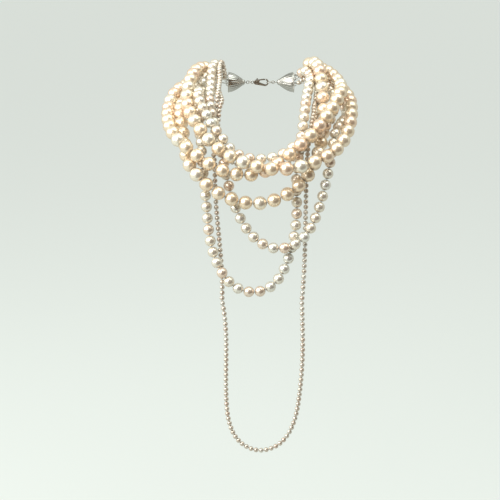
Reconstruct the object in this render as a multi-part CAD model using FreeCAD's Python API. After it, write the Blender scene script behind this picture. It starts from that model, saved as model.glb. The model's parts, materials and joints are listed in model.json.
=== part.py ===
import FreeCAD, Part
import math
import os

# A layered necklace of eight pearl strands in its worn drape, gathered at the nape.
# Millimetres. +X runs along the clasp, -Y is the front of the chest, +Z is up.
# The origin is the middle of the clasp, where the necklace rests on the nape.

os.makedirs("parts", exist_ok=True)
Vector = FreeCAD.Vector

# ---------------------------------------------------------------- driving dimensions

LARGE_PEARL = 14.0
MEDIUM_PEARL = 11.0
SMALL_PEARL = 5.0
KNOT_ROOM = {LARGE_PEARL: 0.5, MEDIUM_PEARL: 0.4, SMALL_PEARL: 0.3}
HOLE_RADIUS = {LARGE_PEARL: 0.50, MEDIUM_PEARL: 0.42, SMALL_PEARL: 0.30}
SILK_RADIUS = {LARGE_PEARL: 0.25, MEDIUM_PEARL: 0.20, SMALL_PEARL: 0.13}
KNOT_RADIUS = {LARGE_PEARL: 0.66, MEDIUM_PEARL: 0.56, SMALL_PEARL: 0.40}
KNOT_THICK = {LARGE_PEARL: 0.14, MEDIUM_PEARL: 0.12, SMALL_PEARL: 0.08}
BULLION_RADIUS = {LARGE_PEARL: 0.70, MEDIUM_PEARL: 0.62, SMALL_PEARL: 0.48}
BULLION_BORE_GAP = 0.10
BULLION_IN_MOUTH = 3.0

# The right-hand end cone and what it holds; the left-hand one is its mirror image.
MOUTH_X = 36.0
MOUTH_RADIUS = 11.0
CONE_TIP_X = 17.5
CONE_OUTSIDE = [(17.5, 1.9), (20.0, 3.1), (23.0, 6.0), (27.0, 8.8), (31.5, 10.4), (36.0, 11.0)]
CONE_INSIDE = [(19.6, 1.3), (21.0, 2.8), (24.0, 5.8), (28.0, 8.3), (32.0, 9.7), (36.0, 10.2)]
RIM_WIRE = 0.5
PLUG_OUTSIDE = [(24.8, 5.5), (26.0, 6.5), (28.5, 7.9), (31.0, 8.8), (32.6, 9.1), (33.2, 8.6)]
SILK_END_X = 33.6
SILK_BEND_X = 37.4
SILK_START_RADIUS = 8.0
GATHER_FACE_X = 33.2
PIN_WIRE = 0.45
PIN_HOLE_GAP = 0.10
PIN_HEAD_RADIUS = 1.3
PIN_HEAD_THICK = 0.5

# Chain of rings: each wire passes through the next ring, 1 mm from its own wire.
LEFT_LOOP = (14.4, 1.6)
LEFT_JUMP_RING = (-11.9, 1.9)
TAIL_RING_X = -9.5
TAIL_RING_RADIUS = 1.5
TAIL_RING_WIRE = 0.5
CLASP_RING = (9.4, 3.2)
CLASP_RING_WIRE = 0.45
RIGHT_JUMP_RING = (13.2, 1.6)
RIGHT_LOOP = (15.3, 1.5)
JUMP_RING_WIRE = 0.4

# Lobster clasp, seen from the front: (x, z, radius) for discs, (x, z) for corners.
CLASP_HALF_THICK = 1.4
CLASP_EDGE = 0.4
CLAW_TAIL = (-5.5, 0.0, 2.6)
CLAW_NOSE = (4.2, 0.0, 4.2)
CAVITY_TAIL = (-1.0, 0.6, 0.9)
CAVITY_NOSE = (4.8, 0.0, 2.3)
GATE_LEFT = -1.2
GATE_RIGHT = 5.3
SLOT_LEFT = -6.1
SLOT_RIGHT = -0.5
SLOT_FLOOR = -0.6
SLOT_HALF = 0.9
PIVOT_X = -4.2
PIVOT_Z = 1.2
RIVET_RADIUS = 0.6
RIVET_HEAD = 1.0
HUB_RADIUS = 1.5
LEVER_HALF = 0.6
GATE_ARM = [(-4.2, 2.6), (-1.0, 3.3), (2.0, 3.75), (4.6, 3.75),
            (4.9, 2.5), (2.0, 2.4), (-1.0, 1.9), (-3.6, 0.3)]
THUMB_TAB = [(-5.2, 1.6), (-3.2, 1.6), (-3.5, 4.3), (-4.7, 4.5)]
SPRING_POCKET = 1.6
SPRING_RADIUS = 0.92
SPRING_WIRE = 0.15
SPRING_TURNS_Y = (0.46, 0.72)
SPRING_LEG_GAP = 0.10
RIVET_GAP = 0.02
RIVET_PROUD = 0.10
RIVET_HEAD_THICK = 0.30
RIVET_HEAD_GAP = 0.03
HUB_GAP = 0.30
PIN_HEAD_GAP = 0.05
CUT_TOP = 6.0
CUT_PAST = 1.0
FLAT = 0.01

# The long rope's drop swings from two of its knots.
DROP_HINGE_LEFT = (-40, -190, -190)
DROP_HINGE_RIGHT = (40, -190, -190)
DROP_SILK_GAP = 0.30

# Between these two places a strand comes to lie wholly on the chest.
NECK_Y = -60.0
CHEST_Y = -120.0

# How far each layer lifts off the one below it, and the room kept between strands.
LIFT_DEGREES = 8.0
STRAND_GAP = 0.40
SWING_GAP = 0.50
NEIGHBOUR_GAP = 0.12
MOUTH_GAP = 0.80
MOUTH_REACH = 3 * MOUTH_RADIUS
BARE_SHARES = (0.2, 0.5, 0.8)
BARE_RADIUS = 0.90

# How the strands settle: rounds, rounds between new lists of close pairs, passes that give the
# silk its length back, and the pull towards the first drape, which fades out.
SETTLE_ROUNDS = 900
PAIR_ROUNDS = 20
PAIR_MARGIN = 3.0
LENGTH_PASSES = 6
HOME_PULL = 0.03
HOME_PULL_DEEP = 0.35
HOME_PULL_ROUNDS = 0.6 * SETTLE_ROUNDS
LARGEST_TURN_STEP = 1.0


def stand_off(point, proud):
    """The point moved out from the clasp's line: fully on the chest, not at all beside the neck."""
    share = (NECK_Y - point.y) / (NECK_Y - CHEST_Y)
    grow = 1 + proud * max(0.0, min(1.0, share)) / math.hypot(point.y, point.z)
    return Vector(point.x, point.y * grow, point.z * grow)


class Strand:
    """One strand: its pearls, where its silk leaves the cones, and the route it hangs along."""

    def __init__(self, name, layer, pearl, bare, turns, proud, route, drop=None):
        self.name = name
        self.layer = layer
        self.pearl = pearl
        self.bare = bare
        self.turns = turns
        self.route = [stand_off(Vector(*point), proud) for point in route]
        self.drop = drop
        self.points = []
        self.lengths = []
        self.drop_knots = None


# Layers count from the strand nearest the chest (0) to the ones that lie over all others.
# The two turns are the angles round the clasp's line at which the silk leaves the left-hand
# and the right-hand cone: 0 is forward, 90 is up. The next number is how far the strands below
# hold this one off its route on the chest, or, below 0, how far it sinks between them.
STRANDS = [
    Strand("long_rope", 0, SMALL_PEARL, 11.0, (-20.0, -20.0), 0, [
        (-45, -31, 22), (-45, -59, 12), (-44, -93, 1), (-45, -117, -12), (-47, -147, -45), (-46, -163, -98),
        (-42, -175, -140), DROP_HINGE_LEFT, (-36, -196, -245), (-36, -196, -295), (-33, -196, -319),
        (-23, -196, -339), (-3, -196, -349), (18, -196, -342), (31, -196, -323), (38, -196, -290),
        (41, -196, -245), DROP_HINGE_RIGHT, (43, -176, -145), (44, -163, -98), (45, -153, -64),
        (48, -136, -31), (55, -100, -8), (58, -71, 5), (57, -41, 16)], drop=(7, 17)),
    Strand("medium_long", 1, MEDIUM_PEARL, 12.0, (25.0, 25.0), 0, [
        (-58, -28, 18), (-62, -58, 7), (-64, -92, -2), (-62, -138, -25), (-60, -157, -53), (-56, -167, -92),
        (-51, -178, -135), (-43, -185, -157), (-31, -189, -173), (-11, -191, -181), (10, -190, -175),
        (23, -185, -157), (30, -178, -137), (35, -166, -94), (34, -161, -73), (36, -156, -53),
        (39, -147, -36), (44, -115, -9), (48, -82, 4), (53, -46, 15)]),
    Strand("medium_short", 2, MEDIUM_PEARL, 14.0, (50.0, 50.0), -2, [
        (-49, -31, 22), (-52, -55, 12), (-53, -94, 0), (-53, -120, -13), (-43, -150, -44), (-35, -164, -77),
        (-30, -170, -95), (-20, -177, -117), (-6, -183, -133), (15, -188, -140), (37, -186, -133),
        (50, -178, -117), (58, -169, -98), (68, -157, -57), (71, -149, -40), (75, -137, -25),
        (84, -113, -17), (88, -92, -15), (85, -66, -9), (73, -38, 1)]),
    Strand("large_bib", 3, LARGE_PEARL, 19.0, (90.0, 90.0), 0, [
        (-76, -39, 0), (-86, -64, -4), (-86, -91, -12), (-82, -120, -22), (-75, -159, -48), (-71, -170, -58),
        (-58, -176, -72), (-42, -178, -84), (-22, -176, -92), (0, -176, -94), (21, -180, -87),
        (39, -178, -76), (51, -171, -62), (58, -157, -43), (63, -118, -11), (64, -97, -1),
        (63, -69, 9), (59, -41, 16)]),
    Strand("short_rope", 0, SMALL_PEARL, 11.0, (5.0, 5.0), -7, [
        (-45, -27, 26), (-44, -53, 17), (-44, -89, 6), (-45, -114, -7), (-49, -133, -29), (-45, -146, -49),
        (-31, -150, -61), (-5, -152, -66), (23, -152, -62), (42, -147, -50), (51, -138, -37),
        (56, -122, -21), (58, -100, -8), (61, -71, 5), (61, -39, 17)]),
    Strand("medium_collar", 4, MEDIUM_PEARL, 15.0, (130.0, 130.0), -6, [
        (-68, -30, 14), (-71, -59, 8), (-70, -97, 1), (-66, -124, -10), (-56, -143, -27), (-42, -155, -42),
        (-24, -163, -52), (-5, -166, -55), (13, -166, -52), (30, -162, -45), (47, -155, -36),
        (62, -145, -29), (71, -128, -19), (75, -104, -5), (75, -74, 3), (67, -42, 10)]),
    Strand("large_collar_under", 5, LARGE_PEARL, 23.0, (200.0, 165.0), 6, [
        (-83, -40, -3), (-93, -63, -8), (-98, -91, -15), (-95, -121, -24), (-87, -148, -36), (-73, -163, -43),
        (-55, -170, -53), (-35, -170, -62), (-13, -167, -66), (8, -165, -61), (26, -169, -47),
        (46, -162, -36), (60, -148, -25), (73, -126, -13), (84, -98, -3), (87, -78, 3),
        (80, -62, 9), (73, -45, 11)]),
    Strand("large_collar_over", 5, LARGE_PEARL, 16.0, (165.0, 200.0), 8, [
        (-63, -21, 13), (-70, -49, 11), (-74, -78, 4), (-75, -106, -7), (-70, -128, -17), (-58, -150, -32),
        (-43, -163, -43), (-26, -173, -50), (-5, -178, -55), (17, -180, -57), (38, -177, -54),
        (58, -170, -48), (76, -158, -42), (85, -138, -35), (90, -119, -26), (93, -91, -14),
        (93, -69, -9), (86, -49, -5)]),
]


# ---------------------------------------------------------------- laying the strands out

def silk_at_mouth(strand, x):
    """Where the silk runs straight along the clasp's line, at the given x."""
    turn = math.radians(strand.turns[x > 0])
    return Vector(x, -SILK_START_RADIUS * math.cos(turn), SILK_START_RADIUS * math.sin(turn))


def even_points(points, bare_start, bare_end, pitch):
    """Places along a smooth line through the points, about one pitch apart, and that pitch."""
    curve = Part.BSplineCurve()
    curve.interpolate(points)
    edge = curve.toShape()
    stretch = edge.Length - bare_start - bare_end
    count = int(stretch / pitch)
    pitch = stretch / count
    places = []
    for index in range(count + 1):
        parameter = edge.getParameterByLength(bare_start + index * pitch)
        places.append(edge.valueAt(parameter))
    return places, pitch


def lay_out(strand):
    """Fill in the strand's silk points, one per knot, and the length between each two."""
    pitch = strand.pearl + KNOT_ROOM[strand.pearl]
    start = silk_at_mouth(strand, -SILK_BEND_X)
    end = silk_at_mouth(strand, SILK_BEND_X)
    if strand.drop is None:
        stretches = [([start] + strand.route + [end], strand.bare, strand.bare)]
    else:
        first, last = strand.drop
        stretches = [([start] + strand.route[:first + 1], strand.bare, 0.0),
                     (strand.route[first:last + 1], 0.0, 0.0),
                     (strand.route[last:] + [end], 0.0, strand.bare)]
    strand.points = [start]
    strand.lengths = [strand.bare]
    joints = []
    for points, bare_start, bare_end in stretches:
        places, even_pitch = even_points(points, bare_start, bare_end, pitch)
        if len(strand.points) > 1:
            joints.append(len(strand.points) - 1)
            places = places[1:]
            strand.lengths += [even_pitch] * len(places)
        else:
            strand.lengths += [even_pitch] * (len(places) - 1)
        strand.points += places
    strand.points.append(end)
    strand.lengths.append(strand.bare)
    if joints:
        strand.drop_knots = tuple(joints)


class Ball:
    """A round thing between two silk points: a pearl, or a short piece of a bare silk end."""

    def __init__(self, strand, index, first, second, share, radius, is_pearl):
        self.strand = strand
        self.index = index
        self.first = first
        self.second = second
        self.share = share
        self.radius = radius
        self.is_pearl = is_pearl

    def place(self):
        """The ball's middle as three numbers."""
        a, b, s = self.first, self.second, self.share
        return (a[0] + (b[0] - a[0]) * s, a[1] + (b[1] - a[1]) * s, a[2] + (b[2] - a[2]) * s)

    def push(self, x, y, z):
        """Move the ball by moving the silk points that hold it."""
        self.first[0] += x
        self.first[1] += y
        self.first[2] += z
        self.second[0] += x
        self.second[1] += y
        self.second[2] += z


def make_balls(strands, chains):
    """The balls of every strand, and those of the bare ends."""
    balls = []
    for strand, chain in zip(strands, chains):
        last = len(chain) - 2
        for index in range(last + 1):
            ends = (chain[index], chain[index + 1])
            if 0 < index < last:
                balls.append(Ball(strand, index, *ends, 0.5, strand.pearl / 2, True))
            else:
                for share in BARE_SHARES:
                    balls.append(Ball(strand, index, *ends, share, BARE_RADIUS, False))
    return balls


def close_pairs(balls):
    """Pairs that lie close, or that could meet when the outer strand is lifted off the inner one."""
    rows = []
    for ball in balls:
        x, y, z = ball.place()
        rows.append((x, math.hypot(y, z), y, z, ball))
    rows.sort(key=lambda row: row[0])
    pairs = []
    for i, (x, reach, y, z, ball) in enumerate(rows):
        for j in range(i + 1, len(rows)):
            other_x, other_reach, other_y, other_z, other = rows[j]
            room = ball.radius + other.radius + PAIR_MARGIN
            if other_x - x > LARGE_PEARL + PAIR_MARGIN:
                break
            if other_x - x > room or abs(other_reach - reach) > room:
                continue
            same = ball.strand is other.strand
            if same and not (ball.is_pearl and other.is_pearl):
                continue
            near = math.dist((x, y, z), (other_x, other_y, other_z)) < room
            if ball.strand.layer == other.strand.layer:
                if near:
                    pairs.append((ball, other, False))
                continue
            swings = math.hypot(other_x - x, other_reach - reach) < room
            if near or swings:
                inner, outer = (ball, other) if ball.strand.layer < other.strand.layer else (other, ball)
                pairs.append((inner, outer, swings))
    return pairs


def push_apart(inner, outer):
    """Move two balls apart where they stand."""
    x1, y1, z1 = inner.place()
    x2, y2, z2 = outer.place()
    neighbours = inner.strand is outer.strand and abs(inner.index - outer.index) == 1
    need = inner.radius + outer.radius + (NEIGHBOUR_GAP if neighbours else STRAND_GAP)
    distance = math.dist((x1, y1, z1), (x2, y2, z2))
    if distance >= need or distance == 0:
        return
    k = 0.5 * (need - distance) / distance
    outer.push(k * (x2 - x1), k * (y2 - y1), k * (z2 - z1))
    inner.push(-k * (x2 - x1), -k * (y2 - y1), -k * (z2 - z1))


def clear_swing(inner, outer):
    """Move an outer ball ahead of an inner one that it would meet on its way up.

    Every strand turns about the clasp's line, so a ball keeps its x and its distance from that
    line, and only its angle grows.
    """
    x1, y1, z1 = inner.place()
    x2, y2, z2 = outer.place()
    reach1 = math.hypot(y1, z1)
    reach2 = math.hypot(y2, z2)
    need = inner.radius + outer.radius + SWING_GAP
    across = math.hypot(x2 - x1, reach2 - reach1)
    if across >= need or reach1 < 1 or reach2 < 1:
        return
    chord = (need * need - across * across) / (4.0 * reach1 * reach2)
    ahead = 2.0 * math.asin(math.sqrt(min(1.0, chord)))
    lead = math.atan2(z2, -y2) - math.atan2(z1, -y1)
    lead = (lead + math.pi) % (2 * math.pi) - math.pi
    lift = math.radians(LIFT_DEGREES) * (outer.strand.layer - inner.strand.layer)
    if lead >= ahead or lead <= -(lift + ahead):
        return
    turn_needed = (ahead - lead) * 0.5 * (reach1 + reach2)
    side_needed = need - across
    if turn_needed <= side_needed or across < FLAT:
        k = min(turn_needed, LARGEST_TURN_STEP) * 0.5
        outer.push(0, k * z2 / reach2, -k * y2 / reach2)
        inner.push(0, -k * z1 / reach1, k * y1 / reach1)
    else:
        k = 0.5 * side_needed / across
        dx = k * (x2 - x1)
        dr = k * (reach2 - reach1)
        outer.push(dx, dr * y2 / reach2, dr * z2 / reach2)
        inner.push(-dx, -dr * y1 / reach1, -dr * z1 / reach1)


def clear_mouth(ball):
    """Keep a pearl that turns close to the clasp's line outside the cone."""
    x, y, z = ball.place()
    need = MOUTH_X + MOUTH_GAP + ball.radius
    if ball.is_pearl and math.hypot(y, z) < MOUTH_REACH and abs(x) < need:
        ball.push(math.copysign(need - abs(x), x), 0, 0)


def hold_lengths(chain, lengths, fixed):
    """Give every stretch of silk its own length again, from both ends in turn."""
    order = list(range(len(lengths)))
    for sweep in (order, order[::-1]):
        for index in sweep:
            a = chain[index]
            b = chain[index + 1]
            free_a = index not in fixed
            free_b = index + 1 not in fixed
            distance = math.dist(a, b)
            k = (distance - lengths[index]) / distance
            if free_a and free_b:
                k *= 0.5
            for axis in range(3):
                step = k * (b[axis] - a[axis])
                if free_a:
                    a[axis] += step
                if free_b:
                    b[axis] -= step


def settle(strands):
    """Let the strands push each other clear, at rest and over their swing, as they hang."""
    chains = [[list(point) for point in strand.points] for strand in strands]
    homes = [[tuple(point) for point in strand.points] for strand in strands]
    fixed = []
    for strand, chain in zip(strands, chains):
        held = {0, len(chain) - 1}
        if strand.drop_knots:
            held.update(strand.drop_knots)
        fixed.append(held)
    balls = make_balls(strands, chains)
    pairs = []
    for step in range(SETTLE_ROUNDS):
        pull = HOME_PULL * max(0.0, 1.0 - step / HOME_PULL_ROUNDS)
        for chain, home in zip(chains, homes):
            for point, rest in zip(chain, home):
                point[0] += pull * (rest[0] - point[0])
                point[1] += HOME_PULL_DEEP * pull * (rest[1] - point[1])
                point[2] += pull * (rest[2] - point[2])
        if step % PAIR_ROUNDS == 0:
            pairs = close_pairs(balls)
        for inner, outer, swings in pairs:
            push_apart(inner, outer)
            if swings:
                clear_swing(inner, outer)
        for ball in balls:
            clear_mouth(ball)
        for chain, home, held in zip(chains, homes, fixed):
            for index in held:
                chain[index][:] = home[index]
        for strand, chain, held in zip(strands, chains, fixed):
            for _ in range(LENGTH_PASSES):
                hold_lengths(chain, strand.lengths, held)
    for strand, chain in zip(strands, chains):
        strand.points = [Vector(*point) for point in chain]


# ---------------------------------------------------------------- shared shapes

def tube(start, end, radius):
    """A plain round rod between two places."""
    return Part.makeCylinder(radius, start.distanceToPoint(end), start, end - start)


def ring(middle, normal, radius, wire):
    """A closed round ring."""
    return Part.makeTorus(radius, wire, middle, normal)


def mirrored(shape):
    """The same shape on the other side."""
    return shape.mirror(Vector(0, 0, 0), Vector(1, 0, 0))


def export(name, solids):
    """Write one node, and say what is in it."""
    shape = solids[0] if len(solids) == 1 else Part.makeCompound(solids)
    for solid in shape.Solids:
        if not solid.isValid() or solid.Volume <= 0:
            print("BAD SOLID in", name)
    shape.exportStep("parts/" + name + ".step")
    print("%-28s %3d solids %10.1f mm3" % (name, len(shape.Solids), shape.Volume))


# ---------------------------------------------------------------- pearls, silk and bullion

def drilled_pearl(diameter):
    """A pearl with its hole along Z, at the origin."""
    hole = Part.makeCylinder(HOLE_RADIUS[diameter], 2 * diameter, Vector(0, 0, -diameter))
    return Part.makeSphere(diameter / 2).cut(hole)


PEARL_MODELS = {size: drilled_pearl(size) for size in (LARGE_PEARL, MEDIUM_PEARL, SMALL_PEARL)}


def pearl_between(diameter, start, end):
    """A pearl halfway between two knots, its hole along the silk."""
    pearl = PEARL_MODELS[diameter].copy()
    turn = FreeCAD.Rotation(Vector(0, 0, 1), end - start)
    pearl.Placement = FreeCAD.Placement((start + end) * 0.5, turn)
    return pearl


def knot(strand, before, place, after):
    """A flat knot square across the silk, where two pearls meet."""
    along = ((place - before).normalize() + (after - place).normalize()).normalize()
    thick = KNOT_THICK[strand.pearl]
    return Part.makeCylinder(KNOT_RADIUS[strand.pearl], thick, place - along * (thick / 2), along)


def silk_line(strand, first, last):
    """One piece of knotted silk through the silk points from first to last."""
    radius = SILK_RADIUS[strand.pearl]
    points = strand.points
    pieces = [tube(points[i], points[i + 1], radius) for i in range(first, last)]
    for i in range(max(first, 1), min(last, len(points) - 2) + 1):
        before = points[i - 1] if i > first else points[i] * 2 - points[i + 1]
        after = points[i + 1] if i < last else points[i] * 2 - points[i - 1]
        pieces.append(knot(strand, before, points[i], after))
    if first == 0:
        pieces += mouth_silk(strand, points[0], -SILK_END_X)
    if last == len(points) - 1:
        pieces += mouth_silk(strand, points[-1], SILK_END_X)
    return pieces[0].multiFuse(pieces[1:]).removeSplitter()


def mouth_silk(strand, bend, end_x):
    """The silk inside a cone's mouth, and the round bend where it turns to the shoulder."""
    radius = SILK_RADIUS[strand.pearl]
    return [tube(silk_at_mouth(strand, end_x), bend, radius), Part.makeSphere(radius, bend)]


def drop_silk(strand, left, right):
    """The drop's silk, ending just short of the two knots that it swings from."""
    radius = SILK_RADIUS[strand.pearl]
    points = list(strand.points)
    clear = KNOT_RADIUS[strand.pearl] + DROP_SILK_GAP
    points[left] = points[left] + (points[left + 1] - points[left]).normalize() * clear
    points[right] = points[right] + (points[right - 1] - points[right]).normalize() * clear
    pieces = [tube(points[i], points[i + 1], radius) for i in range(left, right)]
    pieces += [knot(strand, points[i - 1], points[i], points[i + 1]) for i in range(left + 1, right)]
    return pieces[0].multiFuse(pieces[1:]).removeSplitter()


def pearls_of(strand, first, last):
    """The pearls threaded between two knots."""
    points = strand.points
    return [pearl_between(strand.pearl, points[i], points[i + 1]) for i in range(first, last)]


def rod_pieces(start, bend, end, radius):
    """The two straight legs and the round bend of a rod that turns once."""
    return [Part.makeSphere(radius, bend), tube(start, bend, radius), tube(bend, end, radius)]


def bullion_of(strand):
    """The fine wire sleeves that guard the bare silk at both ends."""
    bore = SILK_RADIUS[strand.pearl] + BULLION_BORE_GAP
    sleeves = []
    for bend, knot_at in ((strand.points[0], strand.points[1]), (strand.points[-1], strand.points[-2])):
        side = math.copysign(1, bend.x)
        along = (knot_at - bend).normalize()
        start = silk_at_mouth(strand, bend.x - side * BULLION_IN_MOUTH)
        end = knot_at - along * (KNOT_THICK[strand.pearl] + BULLION_BORE_GAP)
        outside = rod_pieces(start, bend, end, BULLION_RADIUS[strand.pearl])
        inside = rod_pieces(start - Vector(side * CUT_PAST, 0, 0), bend, end + along * CUT_PAST, bore)
        sleeves.append(outside[0].multiFuse(outside[1:]).cut(inside))
    return sleeves


def make_strand(strand):
    """Write a strand's pearls, silk and bullion, and the drop as its own pieces."""
    last = len(strand.points) - 1
    if strand.drop_knots is None:
        export(strand.name + "_pearls", pearls_of(strand, 1, last - 1))
        export(strand.name + "_silk", [silk_line(strand, 0, last)])
    else:
        left, right = strand.drop_knots
        export(strand.name + "_pearls", pearls_of(strand, 1, left) + pearls_of(strand, right, last - 1))
        export(strand.name + "_silk", [silk_line(strand, 0, left), silk_line(strand, right, last)])
        export(strand.name + "_drop_pearls", pearls_of(strand, left, right))
        export(strand.name + "_drop_silk", [drop_silk(strand, left, right)])
        print("the drop swings from", strand.points[left], strand.points[right])
    export(strand.name + "_bullion", bullion_of(strand))


# ---------------------------------------------------------------- end cones and what they hold

def smooth_turned(curve_points, back_points):
    """A solid turned about the X axis, with a smooth curve in front and straight lines behind."""
    curve = Part.BSplineCurve()
    curve.interpolate([Vector(x, radius, 0) for x, radius in curve_points])
    back = [Vector(x, radius, 0) for x, radius in back_points]
    corners = [Vector(*curve_points[-1], 0)] + back + [Vector(*curve_points[0], 0)]
    edges = [curve.toShape()] + [Part.makeLine(a, b) for a, b in zip(corners, corners[1:])]
    face = Part.Face(Part.Wire(edges))
    return face.revolve(Vector(0, 0, 0), Vector(1, 0, 0), 360)


def end_cone():
    """The right-hand bell cone: a thin shell with a rolled rim and a hole in its tip."""
    outside = smooth_turned(CONE_OUTSIDE, [(MOUTH_X, 0), (CONE_TIP_X, 0)])
    past_mouth = MOUTH_X + CUT_PAST
    inside_back = [(past_mouth, CONE_INSIDE[-1][1]), (past_mouth, 0), (CONE_INSIDE[0][0], 0)]
    inside = smooth_turned(CONE_INSIDE, inside_back)
    rim = ring(Vector(MOUTH_X - RIM_WIRE, 0, 0), Vector(1, 0, 0), MOUTH_RADIUS - RIM_WIRE / 2, RIM_WIRE)
    hole_ends = Vector(CONE_TIP_X - CUT_PAST, 0, 0), Vector(CONE_INSIDE[2][0], 0, 0)
    tip_hole = tube(*hole_ends, PIN_WIRE + PIN_HOLE_GAP)
    return outside.cut(inside).fuse(rim).cut(tip_hole)


def gathering_knot():
    """The right-hand plug of wound silk that all strands are tied into, bored for the eye pin."""
    plug = smooth_turned(PLUG_OUTSIDE, [(GATHER_FACE_X, 0), (PLUG_OUTSIDE[0][0], 0)])
    bore = tube(Vector(CONE_TIP_X, 0, 0), Vector(MOUTH_X, 0, 0), PIN_WIRE + PIN_HOLE_GAP)
    return plug.cut(bore)


def eye_pin(side, loop_x, loop_radius, normal):
    """A headed wire from the gathering knot through the cone's tip, ending in a closed loop."""
    stem_start = Vector(side * (loop_x + loop_radius), 0, 0)
    stem_end = Vector(side * (GATHER_FACE_X + PIN_HEAD_THICK), 0, 0)
    head_base = Vector(side * (GATHER_FACE_X + PIN_HEAD_GAP), 0, 0)
    head = tube(head_base, stem_end, PIN_HEAD_RADIUS)
    loop = ring(Vector(side * loop_x, 0, 0), normal, loop_radius, PIN_WIRE)
    return loop.multiFuse([tube(stem_start, stem_end, PIN_WIRE), head])


# ---------------------------------------------------------------- lobster clasp

def block(x1, x2, z1, z2, half_thick):
    """A plain block through the clasp's thickness."""
    return Part.makeBox(x2 - x1, 2 * half_thick, z2 - z1, Vector(x1, -half_thick, z1))


def disc(x, z, radius, half_thick):
    """A round plate across the clasp's thickness."""
    return Part.makeCylinder(radius, 2 * half_thick, Vector(x, -half_thick, z), Vector(0, 1, 0))


def plate(outline, half_thick):
    """A plate of the clasp's thickness from its outline of (x, z) points."""
    points = [Vector(x, -half_thick, z) for x, z in outline]
    return Part.Face(Part.makePolygon(points + points[:1])).extrude(Vector(0, 2 * half_thick, 0))


def two_disc_hull(first, second, half_thick):
    """The plate that two discs and their common tangents enclose; each disc is (x, z, radius)."""
    x1, z1, r1 = first
    x2, z2, r2 = second
    span = math.hypot(x2 - x1, z2 - z1)
    lean = math.atan2(z2 - z1, x2 - x1)
    spread = math.acos((r1 - r2) / span)
    corners = []
    for (x, z, radius), turn in ((first, spread), (second, spread), (second, -spread), (first, -spread)):
        corners.append((x + radius * math.cos(lean + turn), z + radius * math.sin(lean + turn)))
    web = plate(corners, half_thick)
    return web.multiFuse([disc(x1, z1, r1, half_thick), disc(x2, z2, r2, half_thick)]).removeSplitter()


def softened(shape, radius):
    """The shape with the edges of its two flat sides rounded."""
    edges = []
    for edge in shape.Edges:
        box = edge.BoundBox
        if box.YLength < FLAT and abs(abs(box.YMin) - CLASP_HALF_THICK) < FLAT:
            edges.append(edge)
    return shape.makeFillet(radius, edges)


def clasp_body():
    """The claw: a rounded plate with its hook, the lever's slot and the ring it hangs by."""
    claw = softened(two_disc_hull(CLAW_TAIL, CLAW_NOSE, CLASP_HALF_THICK), CLASP_EDGE)
    claw = claw.cut(two_disc_hull(CAVITY_TAIL, CAVITY_NOSE, 2 * CLASP_HALF_THICK))
    claw = claw.cut(block(GATE_LEFT, GATE_RIGHT, 0, CUT_TOP, 2 * CLASP_HALF_THICK))
    claw = claw.cut(block(SLOT_LEFT, SLOT_RIGHT, SLOT_FLOOR, CUT_TOP, SLOT_HALF))
    claw = claw.cut(disc(PIVOT_X, PIVOT_Z, RIVET_RADIUS + RIVET_GAP, 2 * CLASP_HALF_THICK))
    tail_ring = ring(Vector(TAIL_RING_X, 0, 0), Vector(0, 1, 0), TAIL_RING_RADIUS, TAIL_RING_WIRE)
    return claw.fuse(tail_ring)


def clasp_trigger():
    """The lever that closes the claw: hub, gate arm and thumb tab, hollowed for its spring."""
    lever = disc(PIVOT_X, PIVOT_Z, HUB_RADIUS, LEVER_HALF)
    lever = lever.multiFuse([plate(GATE_ARM, LEVER_HALF), plate(THUMB_TAB, LEVER_HALF)]).removeSplitter()
    pivot = Vector(PIVOT_X, 0, PIVOT_Z)
    pocket = Part.makeCylinder(SPRING_POCKET, LEVER_HALF + CUT_PAST, pivot, Vector(0, 1, 0))
    return lever.cut(pocket).cut(disc(PIVOT_X, PIVOT_Z, RIVET_RADIUS + HUB_GAP, 2 * LEVER_HALF))


def clasp_rivet():
    """The pin the lever turns on, headed on both sides."""
    shank = disc(PIVOT_X, PIVOT_Z, RIVET_RADIUS, CLASP_HALF_THICK + RIVET_PROUD)
    heads = []
    for side in (-1, 1):
        base = Vector(PIVOT_X, side * (CLASP_HALF_THICK + RIVET_HEAD_GAP), PIVOT_Z)
        heads.append(Part.makeCylinder(RIVET_HEAD, RIVET_HEAD_THICK, base, Vector(0, side, 0)))
    return shank.multiFuse(heads)


def trigger_spring():
    """Two turns of fine wire round the rivet, with one leg down to the slot's floor."""
    across = Vector(0, 1, 0)
    turns = [ring(Vector(PIVOT_X, y, PIVOT_Z), across, SPRING_RADIUS, SPRING_WIRE) for y in SPRING_TURNS_Y]
    leg_top = Vector(PIVOT_X - SPRING_RADIUS, sum(SPRING_TURNS_Y) / 2, PIVOT_Z)
    leg = tube(leg_top, Vector(leg_top.x, leg_top.y, SLOT_FLOOR + SPRING_LEG_GAP), SPRING_WIRE)
    return turns[0].multiFuse(turns[1:] + [leg])


# ---------------------------------------------------------------- run

for strand in STRANDS:
    lay_out(strand)
settle(STRANDS)
for strand in STRANDS:
    make_strand(strand)

right_cone = end_cone()
right_plug = gathering_knot()
ACROSS = Vector(0, 1, 0)
UPRIGHT = Vector(0, 0, 1)
export("right_cone", [right_cone])
export("left_cone", [mirrored(right_cone)])
export("right_gathering_knot", [right_plug])
export("left_gathering_knot", [mirrored(right_plug)])
export("left_eye_pin", [eye_pin(-1, LEFT_LOOP[0], LEFT_LOOP[1], ACROSS)])
export("right_eye_pin", [eye_pin(1, RIGHT_LOOP[0], RIGHT_LOOP[1], UPRIGHT)])
export("jump_rings", [ring(Vector(LEFT_JUMP_RING[0], 0, 0), UPRIGHT, LEFT_JUMP_RING[1], JUMP_RING_WIRE),
                      ring(Vector(RIGHT_JUMP_RING[0], 0, 0), ACROSS, RIGHT_JUMP_RING[1], JUMP_RING_WIRE)])
export("clasp_ring", [ring(Vector(CLASP_RING[0], 0, 0), UPRIGHT, CLASP_RING[1], CLASP_RING_WIRE)])
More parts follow.
